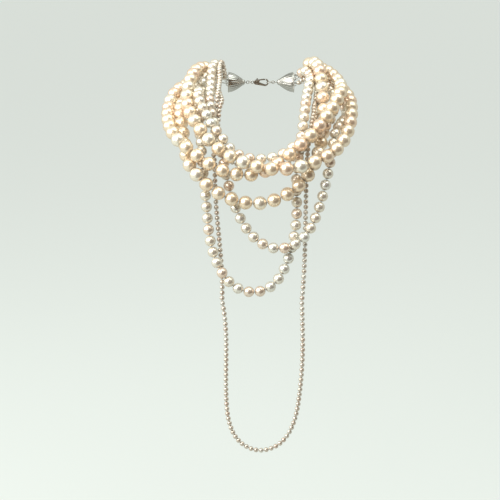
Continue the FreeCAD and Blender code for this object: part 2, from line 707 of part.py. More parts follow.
export("clasp_body", [clasp_body()])
export("clasp_trigger", [clasp_trigger()])
export("clasp_rivet", [clasp_rivet()])
export("trigger_spring", [trigger_spring()])
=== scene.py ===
import json
import logging
import math
from dataclasses import dataclass
from enum import Enum
from typing import Any, Optional, Sequence

import bpy
import numpy as np
from bpy.types import ColorRamp, Material, Mesh, Node, NodeSocket, NodeTree, Object
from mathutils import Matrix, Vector

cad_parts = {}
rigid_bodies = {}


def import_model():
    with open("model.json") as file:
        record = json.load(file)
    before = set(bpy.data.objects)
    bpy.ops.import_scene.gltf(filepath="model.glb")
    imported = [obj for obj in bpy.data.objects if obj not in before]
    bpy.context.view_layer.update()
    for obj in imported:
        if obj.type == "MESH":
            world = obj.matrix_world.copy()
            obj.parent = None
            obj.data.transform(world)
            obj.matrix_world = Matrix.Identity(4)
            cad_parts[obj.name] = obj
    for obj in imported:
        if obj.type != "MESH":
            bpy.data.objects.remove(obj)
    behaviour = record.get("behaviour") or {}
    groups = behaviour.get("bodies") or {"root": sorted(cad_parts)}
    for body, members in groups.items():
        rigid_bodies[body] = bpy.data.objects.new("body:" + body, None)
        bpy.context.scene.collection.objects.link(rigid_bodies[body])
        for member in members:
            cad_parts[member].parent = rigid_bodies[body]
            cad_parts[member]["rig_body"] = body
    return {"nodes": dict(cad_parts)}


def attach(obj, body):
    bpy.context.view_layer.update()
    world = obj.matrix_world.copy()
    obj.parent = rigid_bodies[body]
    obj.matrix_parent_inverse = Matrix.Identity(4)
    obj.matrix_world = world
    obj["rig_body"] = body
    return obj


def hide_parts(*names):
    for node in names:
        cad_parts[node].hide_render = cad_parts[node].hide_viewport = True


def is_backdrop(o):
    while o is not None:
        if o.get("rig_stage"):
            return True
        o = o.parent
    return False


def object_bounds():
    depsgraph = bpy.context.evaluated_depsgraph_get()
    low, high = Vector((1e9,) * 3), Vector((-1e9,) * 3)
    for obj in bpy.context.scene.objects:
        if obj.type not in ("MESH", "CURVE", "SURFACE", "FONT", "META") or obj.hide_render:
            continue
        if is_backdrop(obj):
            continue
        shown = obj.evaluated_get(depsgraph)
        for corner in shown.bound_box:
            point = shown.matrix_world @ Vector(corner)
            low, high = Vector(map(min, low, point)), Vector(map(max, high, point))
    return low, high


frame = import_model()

LOG = logging.getLogger("necklace")
MM = 0.001
FULL_TURN = 2 * math.pi
UP = (0.0, 0.0, 1.0)
SAME_PLACE = 0.001 * MM
Colour = tuple[float, float, float]
Place = tuple[float, float, float]


# ---------------------------------------------------------------- node trees

class NodeGraph:
    """A node tree with one way to add its nodes."""

    def __init__(self, tree: NodeTree) -> None:
        """Keep the tree that nodes are added to."""
        self.tree = tree

    def add(self, kind: str, settings: Optional[dict[str, Any]] = None,
            sockets: Optional[dict[Any, Any]] = None) -> Node:
        """Add one node.

        Args:
            kind: The node's type.
            settings: Properties to set first; "stops" gives a ramp's positions and colours.
            sockets: Input name or number to a plain value, a socket or a Number.

        Returns:
            The new node.
        """
        node = self.tree.nodes.new(kind)
        for name, value in (settings or {}).items():
            if name == "stops":
                self._set_stops(node.color_ramp, value)
            else:
                setattr(node, name, value)
        for key, value in (sockets or {}).items():
            source = value.socket if isinstance(value, Number) else value
            if isinstance(source, NodeSocket):
                self.tree.links.new(source, node.inputs[key])
            else:
                node.inputs[key].default_value = source
        return node

    @staticmethod
    def _set_stops(ramp: ColorRamp, stops: Sequence[tuple[float, Colour]]) -> None:
        """Give a ramp exactly these stops.

        Args:
            ramp: The ramp, which starts with two stops.
            stops: Positions and colours in order.
        """
        while len(ramp.elements) > 1:
            ramp.elements.remove(ramp.elements[-1])
        ramp.elements[0].position = stops[0][0]
        ramp.elements[0].color = opaque(stops[0][1])
        for position, colour in stops[1:]:
            ramp.elements.new(position).color = opaque(colour)


class Number:
    """A number socket, with arithmetic that adds Math nodes to its tree."""

    def __init__(self, graph: NodeGraph, socket: NodeSocket) -> None:
        """Wrap a socket of the graph."""
        self.graph = graph
        self.socket = socket

    def _math(self, operation: str, first: Any, second: Any = 0.0) -> "Number":
        """Add one Math node and wrap its result."""
        node = self.graph.add("ShaderNodeMath", {"operation": operation}, {0: first, 1: second})
        return Number(self.graph, node.outputs[0])

    def __add__(self, other: Any) -> "Number":
        """This plus other."""
        return self._math("ADD", self, other)

    def __rsub__(self, other: Any) -> "Number":
        """Other minus this."""
        return self._math("SUBTRACT", other, self)

    def __mul__(self, other: Any) -> "Number":
        """This times other."""
        return self._math("MULTIPLY", self, other)

    def __truediv__(self, other: Any) -> "Number":
        """This divided by other."""
        return self._math("DIVIDE", self, other)

    def __pow__(self, other: Any) -> "Number":
        """This to the power of other."""
        return self._math("POWER", self, other)

    def maximum(self, other: Any) -> "Number":
        """The larger of this and other."""
        return self._math("MAXIMUM", self, other)

    def cosine(self) -> "Number":
        """The cosine of this, in radians."""
        return self._math("COSINE", self)


class ShaderGraph(NodeGraph):
    """A new material's tree, with its Principled shader."""

    def __init__(self, name: str) -> None:
        """Make the material and empty its tree.

        Args:
            name: The material's name.
        """
        self.material = bpy.data.materials.new(name)
        self.material.use_nodes = True
        super().__init__(self.material.node_tree)
        self.tree.nodes.clear()

    def attribute(self, name: str) -> Number:
        """A number stored on the mesh."""
        node = self.add("ShaderNodeAttribute", {"attribute_name": name})
        return Number(self, node.outputs["Fac"])

    def noise(self, scale: float, detail: float = 2.0) -> Number:
        """A soft pattern from 0 to 1, with this many features per metre of the object."""
        place = self.add("ShaderNodeTexCoord").outputs["Object"]
        node = self.add("ShaderNodeTexNoise", {}, {"Vector": place, "Scale": scale, "Detail": detail})
        return Number(self, node.outputs["Fac"])

    def mix(self, factor: Any, first: Any, second: Any) -> NodeSocket:
        """Two colours mixed; the factor is the second one's share."""
        sockets = {0: factor, 6: opaque(first), 7: opaque(second)}
        return self.add("ShaderNodeMix", {"data_type": "RGBA"}, sockets).outputs[2]

    def bump(self, height: Any, strength: float, distance: float) -> NodeSocket:
        """A bumped normal from a height."""
        node = self.add("ShaderNodeBump", {}, {"Height": height, "Strength": strength, "Distance": distance})
        return node.outputs["Normal"]

    def surface(self, sockets: dict[str, Any]) -> Material:
        """Finish the material with a Principled shader.

        Args:
            sockets: The shader's inputs, as values or links.

        Returns:
            The finished material.
        """
        shader = self.add("ShaderNodeBsdfPrincipled", {}, sockets)
        self.add("ShaderNodeOutputMaterial", {}, {"Surface": shader.outputs["BSDF"]})
        return self.material


class GeometryGraph(NodeGraph):
    """A geometry node group with named inputs, that turns a host mesh into a finished piece."""

    def __init__(self, name: str, inputs: Sequence[tuple[str, str]]) -> None:
        """Make the group with a Geometry input, the named ones and a Material input.

        Args:
            name: The group's name.
            inputs: Name and socket type of each further input.
        """
        group = bpy.data.node_groups.new(name, "GeometryNodeTree")
        super().__init__(group)
        for label, kind in [("Geometry", "Geometry"), *inputs, ("Material", "Material")]:
            group.interface.new_socket(name=label, in_out="INPUT", socket_type="NodeSocket" + kind)
        group.interface.new_socket(name="Geometry", in_out="OUTPUT", socket_type="NodeSocketGeometry")
        self.entry = self.add("NodeGroupInput")

    def given(self, name: str) -> NodeSocket:
        """The socket of a named input."""
        return self.entry.outputs[name]

    def number(self, name: str) -> Number:
        """A named number input, ready for arithmetic."""
        return Number(self, self.given(name))

    def named(self, name: str, data_type: str) -> NodeSocket:
        """An attribute stored on the host mesh."""
        node = self.add("GeometryNodeInputNamedAttribute", {"data_type": data_type}, {"Name": name})
        return node.outputs[0]

    def position(self) -> NodeSocket:
        """Each point's place."""
        return self.add("GeometryNodeInputPosition").outputs["Position"]

    def wave(self, count: int, depth: float) -> Number:
        """A factor that ripples from 1 down to 1 less twice the depth, once in this many curve points."""
        index = Number(self, self.add("GeometryNodeInputIndex").outputs["Index"])
        return (index * (FULL_TURN / count)).cosine() * depth + (1.0 - depth)

    def random(self, low: Any, high: float, seed: Any) -> NodeSocket:
        """A random number between low and high for each point."""
        node = self.add("FunctionNodeRandomValue", {"data_type": "FLOAT"}, {2: low, 3: high, "Seed": seed})
        return node.outputs[1]

    def spun_to_axis(self) -> NodeSocket:
        """Turn Z to each point's stored axis, after a random spin round it.

        Returns:
            The rotation.
        """
        spin = self.add("FunctionNodeAxisAngleToRotation", {},
                        {"Axis": UP, "Angle": self.random(0.0, FULL_TURN, self.given("Seed"))})
        aligned = self.add("FunctionNodeAlignRotationToVector", {"axis": "Z"},
                           {"Vector": self.named("axis", "FLOAT_VECTOR")})
        node = self.add("FunctionNodeRotateRotation", {"rotation_space": "LOCAL"},
                        {"Rotation": aligned.outputs["Rotation"], "Rotate By": spin.outputs["Rotation"]})
        return node.outputs["Rotation"]

    def pattern(self, name: str, level: Any) -> NodeSocket:
        """The mesh of a named object input, subdivided to a level."""
        coarse = self.add("GeometryNodeObjectInfo", {}, {"Object": self.given(name)}).outputs["Geometry"]
        node = self.add("GeometryNodeSubdivisionSurface", {}, {"Mesh": coarse, "Level": level})
        return node.outputs["Mesh"]

    def host_line(self) -> NodeSocket:
        """The host's edges as curves."""
        return self.add("GeometryNodeMeshToCurve", {}, {"Mesh": self.given("Geometry")}).outputs["Curve"]

    def spaced(self, curve: NodeSocket, step: Number) -> NodeSocket:
        """A curve with its points a step apart."""
        node = self.add("GeometryNodeResampleCurve", {"mode": "LENGTH"}, {"Curve": curve, "Length": step})
        return node.outputs["Curve"]

    def circle(self, points: int, radius: str) -> NodeSocket:
        """A circle to sweep, as wide as a named input says."""
        node = self.add("GeometryNodeCurvePrimitiveCircle", {},
                        {"Resolution": points, "Radius": self.given(radius)})
        return node.outputs["Curve"]

    def swept(self, curve: NodeSocket, profile: NodeSocket,
              scale: Any = 1.0) -> NodeSocket:
        """A profile swept along a curve, with closed ends."""
        node = self.add("GeometryNodeCurveToMesh", {},
                        {"Curve": curve, "Profile Curve": profile, "Scale": scale, "Fill Caps": True})
        return node.outputs["Mesh"]

    def moved(self, geometry: NodeSocket, places: NodeSocket) -> NodeSocket:
        """A geometry with its points at new places."""
        node = self.add("GeometryNodeSetPosition", {}, {"Geometry": geometry, "Position": places})
        return node.outputs["Geometry"]

    def joined(self, *parts: NodeSocket) -> NodeSocket:
        """Join several geometries.

        Args:
            *parts: The geometries in order.

        Returns:
            All of them as one.
        """
        node = self.add("GeometryNodeJoinGeometry")
        for part in parts:
            self.tree.links.new(part, node.inputs["Geometry"])
        return node.outputs["Geometry"]

    def close(self, geometry: NodeSocket) -> "GeometryGraph":
        """End the tree: real meshes, smooth shading, its material, and the output.

        Args:
            geometry: The piece.

        Returns:
            The finished tree.
        """
        real = self.add("GeometryNodeRealizeInstances", {}, {"Geometry": geometry})
        smooth = self.add("GeometryNodeSetShadeSmooth", {}, {"Geometry": real.outputs["Geometry"]})
        painted = self.add("GeometryNodeSetMaterial", {},
                           {"Geometry": smooth.outputs["Geometry"], "Material": self.given("Material")})
        self.add("NodeGroupOutput", {}, {"Geometry": painted.outputs["Geometry"]})
        return self

    def run(self, host: Object, values: dict[str, Any], name: str) -> Object:
        """Turn a host mesh into a plain finished mesh object.

        Args:
            host: The object that carries the points or lines; it is removed.
            values: Each named input's value.
            name: The finished piece's name.

        Returns:
            The new object, at the origin, with no modifier.
        """
        modifier = host.modifiers.new("build", "NODES")
        modifier.node_group = self.tree
        for item in self.tree.interface.items_tree:
            if item.item_type == "SOCKET" and item.in_out == "INPUT" and item.name in values:
                modifier[item.identifier] = values[item.name]
        evaluated = host.evaluated_get(bpy.context.evaluated_depsgraph_get())
        mesh = bpy.data.meshes.new_from_object(evaluated)
        mesh.name = name
        bpy.data.objects.remove(host)
        return link(bpy.data.objects.new(name, mesh))


def opaque(colour: Any) -> Any:
    """A plain colour with full alpha, or a socket unchanged."""
    return (*colour, 1.0) if isinstance(colour, tuple) else colour


def shade(colour: Colour, factor: float) -> Colour:
    """A colour made darker by a factor."""
    return tuple(factor * channel for channel in colour)


def link(piece: Object) -> Object:
    """Put an object into the scene and return it."""
    bpy.context.scene.collection.objects.link(piece)
    return piece


def store(mesh: Mesh, name: str, rows: Any) -> None:
    """Store an attribute on a mesh's points.

    Args:
        mesh: The mesh.
        name: The attribute's name.
        rows: One number, or one vector, for each point.
    """
    values = np.asarray(rows, np.float32)
    kind, field = ("FLOAT_VECTOR", "vector") if values.ndim > 1 else ("FLOAT", "value")
    mesh.attributes.new(name, kind, "POINT").data.foreach_set(field, values.ravel())


def host_mesh(name: str, points: Sequence[np.ndarray], edges: Sequence[tuple[int, int]] = (),
              attributes: Optional[dict[str, Any]] = None) -> Object:
    """Make an object of bare points or lines for a geometry tree to dress.

    Args:
        name: The object's name.
        points: Its vertices.
        edges: Pairs of vertex numbers.
        attributes: Names to one number or vector for each vertex.

    Returns:
        The linked object.
    """
    mesh = bpy.data.meshes.new(name)
    mesh.from_pydata([tuple(float(c) for c in p) for p in points], [tuple(e) for e in edges], [])
    for key, rows in (attributes or {}).items():
        store(mesh, key, rows)
    return link(bpy.data.objects.new(name, mesh))


# ---------------------------------------------------------------- finishes

@dataclass(frozen=True)
class PearlFinish:
    """The nacre of one grade of pearl: a lustrous coat over a body colour that varies by pearl."""

    name: str
    cool: Colour
    body: Colour
    warm: Colour
    spread: float = 0.30
    lustre: float = 0.69
    roughness: float = 0.30
    uneven: float = 0.06
    edge_tint: Colour = (0.78, 0.62, 0.47)
    coat: float = 0.70
    coat_roughness: float = 0.21
    coat_index: float = 1.40
    bloom: float = 0.05
    bloom_roughness: float = 0.30
    bloom_tint: Colour = (1.0, 0.94, 0.88)
    cloud_scale: float = 170.0
    clouding: float = 0.10
    cloud_shade: float = 0.84
    grain_scale: float = 2600.0
    grain_strength: float = 0.02
    grain_height: float = 0.05 * MM
    hole_colour: Colour = (0.42, 0.34, 0.24)
    hole_roughness: float = 0.35
    hole_coat_loss: float = 0.6

    def make(self) -> Material:
        """Build the material, which is bare and dull where "drill" is 1.

        Returns:
            The finished material.
        """
        graph = ShaderGraph(self.name)
        drill = graph.attribute("drill")
        cloud = graph.noise(self.cloud_scale)
        stops = [(0.0, self.cool), (self.spread, self.body), (1.0 - self.spread, self.body), (1.0, self.warm)]
        ramp = graph.add("ShaderNodeValToRGB", {"stops": stops}, {"Fac": graph.attribute("tint")})
        clouded = graph.mix(cloud * self.clouding, ramp.outputs["Color"], shade(self.body, self.cloud_shade))
        grain = graph.noise(self.grain_scale)
        even = self.roughness - self.uneven / 2
        return graph.surface({
            "Base Color": graph.mix(drill, clouded, self.hole_colour),
            "Roughness": cloud * self.uneven + even + drill * self.hole_roughness,
            "Metallic": self.lustre - drill * self.lustre,
            "Coat Weight": self.coat - drill * self.hole_coat_loss,
            "Coat Roughness": self.coat_roughness,
            "Coat IOR": self.coat_index,
            "Specular Tint": opaque(self.edge_tint),
            "Sheen Weight": self.bloom,
            "Sheen Roughness": self.bloom_roughness,
            "Sheen Tint": opaque(self.bloom_tint),
            "Normal": graph.bump(grain, self.grain_strength, self.grain_height),
        })


@dataclass(frozen=True)
class SilkFinish:
    """Twisted silk thread, a little fuzzy."""

    name: str
    colour: Colour
    roughness: float = 0.55
    uneven: float = 0.20
    fuzz: float = 0.4
    fibre_scale: float = 5200.0
    fibre_detail: float = 3.0
    fibre_share: float = 0.5
    fibre_shade: float = 0.78
    fibre_strength: float = 0.3
    fibre_height: float = 0.05 * MM

    def make(self) -> Material:
        """Build the material.

        Returns:
            The finished material.
        """
        graph = ShaderGraph(self.name)
        fibre = graph.noise(self.fibre_scale, self.fibre_detail)
        dark = shade(self.colour, self.fibre_shade)
        return graph.surface({
            "Base Color": graph.mix(fibre * self.fibre_share, self.colour, dark),
            "Roughness": fibre * self.uneven + self.roughness,
            "Sheen Weight": self.fuzz,
            "Sheen Roughness": self.fuzz,
            "Normal": graph.bump(fibre, self.fibre_strength, self.fibre_height),
        })


@dataclass(frozen=True)
class MetalFinish:
    """Plated metal with fine rubbing marks, and tarnish in patches and in its grooves."""

    name: str
    colour: Colour
    roughness: float
    tarnish: float = 0.25
    groove_tarnish: float = 0.9
    tarnish_shade: float = 0.45
    patch_scale: float = 420.0
    patch_detail: float = 4.0
    patch_roughness: float = 0.12
    rub_scale: float = 3800.0
    rub_roughness: float = 0.08
    rub_strength: float = 0.06
    rub_height: float = 0.04 * MM

    def make(self) -> Material:
        """Build the material.

        Returns:
            The finished material.
        """
        graph = ShaderGraph(self.name)
        patch = graph.noise(self.patch_scale, self.patch_detail)
        rub = graph.noise(self.rub_scale)
        worn = patch * self.tarnish + graph.attribute("groove") * self.groove_tarnish
        even = self.roughness - (self.patch_roughness + self.rub_roughness) / 2
        return graph.surface({
            "Base Color": graph.mix(worn, self.colour, shade(self.colour, self.tarnish_shade)),
            "Metallic": 1.0,
            "Roughness": patch * self.patch_roughness + rub * self.rub_roughness + even,
            "Normal": graph.bump(rub, self.rub_strength, self.rub_height),
        })


class Finish(Enum):
    """The necklace's finishes."""

    LARGE_PEARL = PearlFinish("large_pearl_nacre", (0.87, 0.81, 0.68), (0.87, 0.72, 0.53), (0.88, 0.65, 0.49))
    MEDIUM_PEARL = PearlFinish("medium_pearl_nacre", (0.78, 0.77, 0.70), (0.79, 0.72, 0.60),
                               (0.80, 0.63, 0.50), spread=0.40)
    SMALL_PEARL = PearlFinish("small_pearl_nacre", (0.64, 0.61, 0.54), (0.62, 0.54, 0.45), (0.60, 0.48, 0.39))
    SILK = SilkFinish("ivory_silk", (0.80, 0.74, 0.62))
    BULLION = MetalFinish("bullion_wire", (0.54, 0.52, 0.49), 0.30, tarnish=0.5)
    SILVER = MetalFinish("silver_plate", (0.56, 0.54, 0.50), 0.26, tarnish=0.5)
    SPRING = MetalFinish("spring_steel", (0.52, 0.52, 0.54), 0.34)

    def material(self) -> Material:
        """The finish's material, made on first use."""
        return bpy.data.materials.get(self.value.name) or self.value.make()


@dataclass(frozen=True)
class Thread:
    """One silk thread: its radius, its knots' reach and thickness, and the length of one twist."""

    radius: float
    knot: float
    knot_thick: float
    twist_length: float = 2.4 * MM


@dataclass(frozen=True)
class PearlGrade:
    """One stock size of pearl: its diameter, and the radii of its hole and of the bullion beside it."""

    diameter: float
    hole: float
    thread: Thread
    bullion: float
    levels: int
    finish: Finish
    slot: str


class Grade(Enum):
    """The three stock sizes."""

    LARGE = PearlGrade(14.0 * MM, 0.50 * MM, Thread(0.25 * MM, 0.66 * MM, 0.14 * MM), 0.70 * MM, 2,
                       Finish.LARGE_PEARL, "large_pearl")
    MEDIUM = PearlGrade(11.0 * MM, 0.42 * MM, Thread(0.20 * MM, 0.56 * MM, 0.12 * MM), 0.62 * MM, 2,
                        Finish.MEDIUM_PEARL, "medium_pearl")
    SMALL = PearlGrade(5.0 * MM, 0.30 * MM, Thread(0.13 * MM, 0.40 * MM, 0.08 * MM), 0.48 * MM, 1,
                       Finish.SMALL_PEARL, "small_pearl")


# ---------------------------------------------------------------- reading the frame

def body_with(node: str) -> str:
    """The body that holds a CAD node."""
    return frame["nodes"][node]["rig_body"]


def welded(node: str) -> tuple[np.ndarray, np.ndarray]:
    """A CAD node's vertices with doubles merged, and its edges.

    Args:
        node: The node's name.

    Returns:
        Points as rows, and pairs of row numbers.
    """
    mesh = frame["nodes"][node].data
    points = np.empty(len(mesh.vertices) * 3, np.float32)
    mesh.vertices.foreach_get("co", points)
    points = points.reshape(-1, 3).astype(float)
    edges = np.empty(len(mesh.edges) * 2, np.int32)
    mesh.edges.foreach_get("vertices", edges)
    _, first, same = np.unique(np.round(points / SAME_PLACE).astype(np.int64), axis=0,
                               return_index=True, return_inverse=True)
    return points[first], same.ravel()[edges.reshape(-1, 2)]


def loose_parts(points: np.ndarray, edges: np.ndarray) -> np.ndarray:
    """Number the separate solids of a mesh.

    Args:
        points: Vertices as rows.
        edges: Pairs of vertex numbers.

    Returns:
        For each vertex, the lowest vertex number of its solid.
    """
    label = np.arange(len(points))
    while True:
        low = np.minimum(label[edges[:, 0]], label[edges[:, 1]])
        new = label.copy()
        np.minimum.at(new, edges[:, 0], low)
        np.minimum.at(new, edges[:, 1], low)
        new = new[new]
        if np.array_equal(new, label):
            return label
        label = new


def sphere_through(cloud: np.ndarray) -> tuple[np.ndarray, float]:
    """Fit a sphere to points that lie on it.

    Args:
        cloud: The points as rows.

    Returns:
        The sphere's middle and radius.
    """
    matrix = np.c_[2 * cloud, np.ones(len(cloud))]
    solved = np.linalg.lstsq(matrix, (cloud ** 2).sum(1), rcond=None)[0]
    centre = solved[:3]
    return centre, math.sqrt(solved[3] + centre @ centre)


@dataclass(eq=False)
class Pearl:
    """One drilled pearl: its middle, the two mouths of its hole in stringing order, and its node."""

    centre: np.ndarray
    start: np.ndarray
    end: np.ndarray
    node: str

    def axis(self) -> np.ndarray:
        """The unit direction of the hole, from start to end."""
        along = self.end - self.start
        return along / np.linalg.norm(along)

    def distance(self, place: np.ndarray) -> float:
        """How far a place is from the nearer mouth."""
        return min(np.linalg.norm(self.start - place), np.linalg.norm(self.end - place))


def pearls_in(node: str, wall_share: float = 1.6) -> list[Pearl]:
    """Read each pearl's middle and hole from a CAD node.

    Args:
        node: The node's name.
        wall_share: How many radii long an edge has to be to run the length of the hole.

    Returns:
        The pearls, not yet in stringing order.
    """
    points, edges = welded(node)
    label = loose_parts(points, edges)
    pearls = []
    for part in np.unique(label):
        centre, radius = sphere_through(points[label == part])
        own = edges[label[edges[:, 0]] == part]
        span = np.linalg.norm(points[own[:, 0]] - points[own[:, 1]], axis=1)
        wall = own[span > wall_share * radius]
        rough_axis = points[wall[0, 0]] - centre
        rim = np.unique(wall)
        ahead = (points[rim] - centre) @ rough_axis > 0
        pearls.append(Pearl(centre, points[rim[~ahead]].mean(0), points[rim[ahead]].mean(0), node))
    return pearls


def in_stringing_order(pearls: list[Pearl], from_point: np.ndarray) -> list[Pearl]:
    """Order pearls from one end of the strand, each hole facing the same way along it.

    Args:
        pearls: The strand's pearls in any order.
        from_point: The place where its silk sets out.

    Returns:
        The pearls in order.
    """
    left = list(pearls)
    strung: list[Pearl] = []
    here = from_point
    while left:
        best = min(left, key=lambda pearl: pearl.distance(here))
        if np.linalg.norm(best.end - here) < np.linalg.norm(best.start - here):
            best.start, best.end = best.end, best.start
        left.remove(best)
        strung.append(best)
        here = best.end
    return strung


# ---------------------------------------------------------------- shared patterns and trees

def add_ring(points: list[Place], radii: Sequence[float], z: float) -> list[int]:
    """Add a ring of points round Z.

    Args:
        points: The list that they are added to.
        radii: Each point's distance from Z, in order round the ring.
        z: The ring's height.

    Returns:
        The new points' numbers.
    """
    first = len(points)
    for k, radius in enumerate(radii):
        turn = FULL_TURN * k / len(radii)
        points.append((radius * math.cos(turn), radius * math.sin(turn), z))
    return list(range(first, len(points)))


def bridged(rings: Sequence[Sequence[int]]) -> list[tuple[int, int, int, int]]:
    """Make faces between neighbouring rings, and from the last ring back to the first.

    Args:
        rings: Each ring's point numbers, equally many in all.

    Returns:
        The faces' corners.
    """
    faces = []
    for lower, upper in zip(rings, [*rings[1:], rings[0]]):
        for k, _ in enumerate(lower):
            n = (k + 1) % len(lower)
            faces.append((lower[k], lower[n], upper[n], upper[k]))
    return faces


@dataclass
class PearlPattern:
    """The one low-count drilled pearl that every strand repeats; its sphere has radius 1."""

    hole: float
    segments: int = 8
    belts: tuple[float, ...] = (38.0, 64.0, 90.0, 116.0, 142.0)
    lip: float = 1.35
    lip_wear: float = 0.55

    def build(self) -> Object:
        """Build the pattern as an object that isn't in the scene.

        Returns:
            The pattern, with "skin" 1 on its outside and "drill" 1 in its hole.
        """
        points: list[Place] = []
        mouth = math.degrees(math.asin(self.hole))
        lips = (mouth, mouth * self.lip)
        rings = []
        skin: list[float] = []
        drill: list[float] = []
        for angle in (*lips, *self.belts, *(180.0 - lip for lip in reversed(lips))):
            turn = math.radians(angle)
            rings.append(add_ring(points, [math.sin(turn)] * self.segments, math.cos(turn)))
            from_pole = min(angle, 180.0 - angle)
            at_mouth = math.isclose(from_pole, lips[0])
            at_lip = math.isclose(from_pole, lips[1])
            skin += [0.0 if at_mouth else 1.0] * self.segments
            drill += [1.0 if at_mouth else (self.lip_wear if at_lip else 0.0)] * self.segments
        mesh = bpy.data.meshes.new("pearl_pattern")
        mesh.from_pydata(points, [], [face[::-1] for face in bridged(rings)])
        store(mesh, "skin", skin)
        store(mesh, "drill", drill)
        return bpy.data.objects.new("pearl_pattern", mesh)


@dataclass
class KnotPattern:
    """The low-count overhand knot that sits between two pearls; its reach across is about 1."""

    around: int = 9
    sides: int = 4
    lobes: int = 3
    reach: float = 0.62
    lobe: float = 0.06
    lift: float = 0.22
    thread: tuple[float, float] = (0.40, 0.50)

    def build(self) -> Object:
        """Build the pattern: a flat ring of thread with soft lobes.

        Returns:
            The pattern as an object that isn't in the scene.
        """
        points: list[Place] = []
        rings = []
        for k in range(self.around):
            turn = FULL_TURN * k / self.around
            middle = self.reach + self.lobe * math.cos(self.lobes * turn)
            height = self.lift * math.sin(self.lobes * turn)
            ring = []
            for s in range(self.sides):
                side = FULL_TURN * s / self.sides
                out = middle + self.thread[0] * math.cos(side)
                up = height + self.thread[1] * math.sin(side)
                ring.append(len(points))
                points.append((out * math.cos(turn), out * math.sin(turn), up))
            rings.append(ring)
        mesh = bpy.data.meshes.new("knot_pattern")
        mesh.from_pydata(points, [], bridged(rings))
        return bpy.data.objects.new("knot_pattern", mesh)


def threading_tree(skin_blend: float = 0.5) -> GeometryGraph:
    """Make the tree that threads a pearl on each point of its host.

    Args:
        skin_blend: How soon the sphere's outside follows on the hole's edge; lower is sooner.

    Returns:
        The finished tree.
    """
    graph = GeometryGraph("thread_pearls", [
        ("Pearl", "Object"), ("Pearl Radius", "Float"), ("Size Spread", "Float"), ("Levels", "Int"),
        ("Seed", "Int")])
    here = graph.position()
    outward = graph.add("ShaderNodeVectorMath", {"operation": "NORMALIZE"}, {0: here}).outputs[0]
    rounding = Number(graph, graph.named("skin", "FLOAT")) ** skin_blend
    blended = graph.add("ShaderNodeMix", {"data_type": "VECTOR"}, {0: rounding, 4: here, 5: outward})
    smallest = 1.0 - graph.number("Size Spread")
    size = Number(graph, graph.random(smallest, 1.0, graph.number("Seed") + 1))
    placed = graph.add("GeometryNodeInstanceOnPoints", {}, {
        "Points": graph.given("Geometry"),
        "Instance": graph.moved(graph.pattern("Pearl", graph.given("Levels")), blended.outputs[1]),
        "Rotation": graph.spun_to_axis(),
        "Scale": size * graph.number("Pearl Radius")})
    tinted = graph.add("GeometryNodeStoreNamedAttribute", {"data_type": "FLOAT", "domain": "INSTANCE"}, {
        "Geometry": placed.outputs["Instances"], "Name": "tint",
        "Value": graph.random(0.0, 1.0, graph.number("Seed") + 2)})
    return graph.close(tinted.outputs["Geometry"])


def silk_tree(plies: int = 3, ply_depth: float = 0.12, turn_steps: int = 6,
              knot_level: int = 1) -> GeometryGraph:
    """Make the tree that twists silk along its host's lines and ties a knot at each marked point.

    Args:
        plies: How many plies the thread has.
        ply_depth: Half of how far the thread is drawn in between two plies, as a share of its radius.
        turn_steps: Rings of points in one full twist.
        knot_level: How finely the knots are rounded.

    Returns:
        The finished tree.
    """
    graph = GeometryGraph("knotted_silk", [
        ("Knot", "Object"), ("Silk Radius", "Float"), ("Knot Radius", "Float"), ("Knot Thickness", "Float"),
        ("Twist Length", "Float"), ("Seed", "Int")])
    even = graph.spaced(graph.host_line(), graph.number("Twist Length") * (1 / turn_steps))
    travel = Number(graph, graph.add("GeometryNodeSplineParameter").outputs["Length"])
    turns = travel / graph.given("Twist Length")
    twisted = graph.add("GeometryNodeSetCurveTilt", {}, {"Curve": even, "Tilt": turns * FULL_TURN})
    drawn_in = graph.add("ShaderNodeVectorMath", {"operation": "SCALE"},
                         {0: graph.position(), "Scale": graph.wave(2, ply_depth)})
    profile = graph.moved(graph.circle(2 * plies, "Silk Radius"), drawn_in.outputs[0])
    size = graph.add("ShaderNodeCombineXYZ", {}, {
        "X": graph.given("Knot Radius"), "Y": graph.given("Knot Radius"), "Z": graph.given("Knot Thickness")})
    tied = graph.add("GeometryNodeInstanceOnPoints", {}, {
        "Points": graph.given("Geometry"), "Instance": graph.pattern("Knot", knot_level),
        "Selection": graph.named("tied", "FLOAT"), "Rotation": graph.spun_to_axis(),
        "Scale": size.outputs["Vector"]})
    thread = graph.swept(twisted.outputs["Curve"], profile)
    return graph.close(graph.joined(thread, tied.outputs["Instances"]))


def bullion_tree(sides: int = 10, wire_steps: int = 4, ridge: float = 0.07,
                 bend_steps: int = 8) -> GeometryGraph:
    """Make the tree that winds a close coil of fine wire along its host's lines.

    Args:
        sides: Points round the coil.
        wire_steps: Rings of points on one turn of wire.
        ridge: Half the height of a wire's ridge, as a share of the coil's radius.
        bend_steps: Points on a bend.

    Returns:
        The finished tree.
    """
    graph = GeometryGraph("bullion_coil", [
        ("Coil Radius", "Float"), ("Wire Pitch", "Float"), ("Bend Radius", "Float")])
    bent = graph.add("GeometryNodeFilletCurve", {"mode": "POLY"}, {
        "Curve": graph.host_line(), "Radius": graph.given("Bend Radius"), "Count": bend_steps,
        "Limit Radius": True})
    even = graph.spaced(bent.outputs["Curve"], graph.number("Wire Pitch") * (1 / wire_steps))
    return graph.close(graph.swept(even, graph.circle(sides, "Coil Radius"), graph.wave(wire_steps, ridge)))


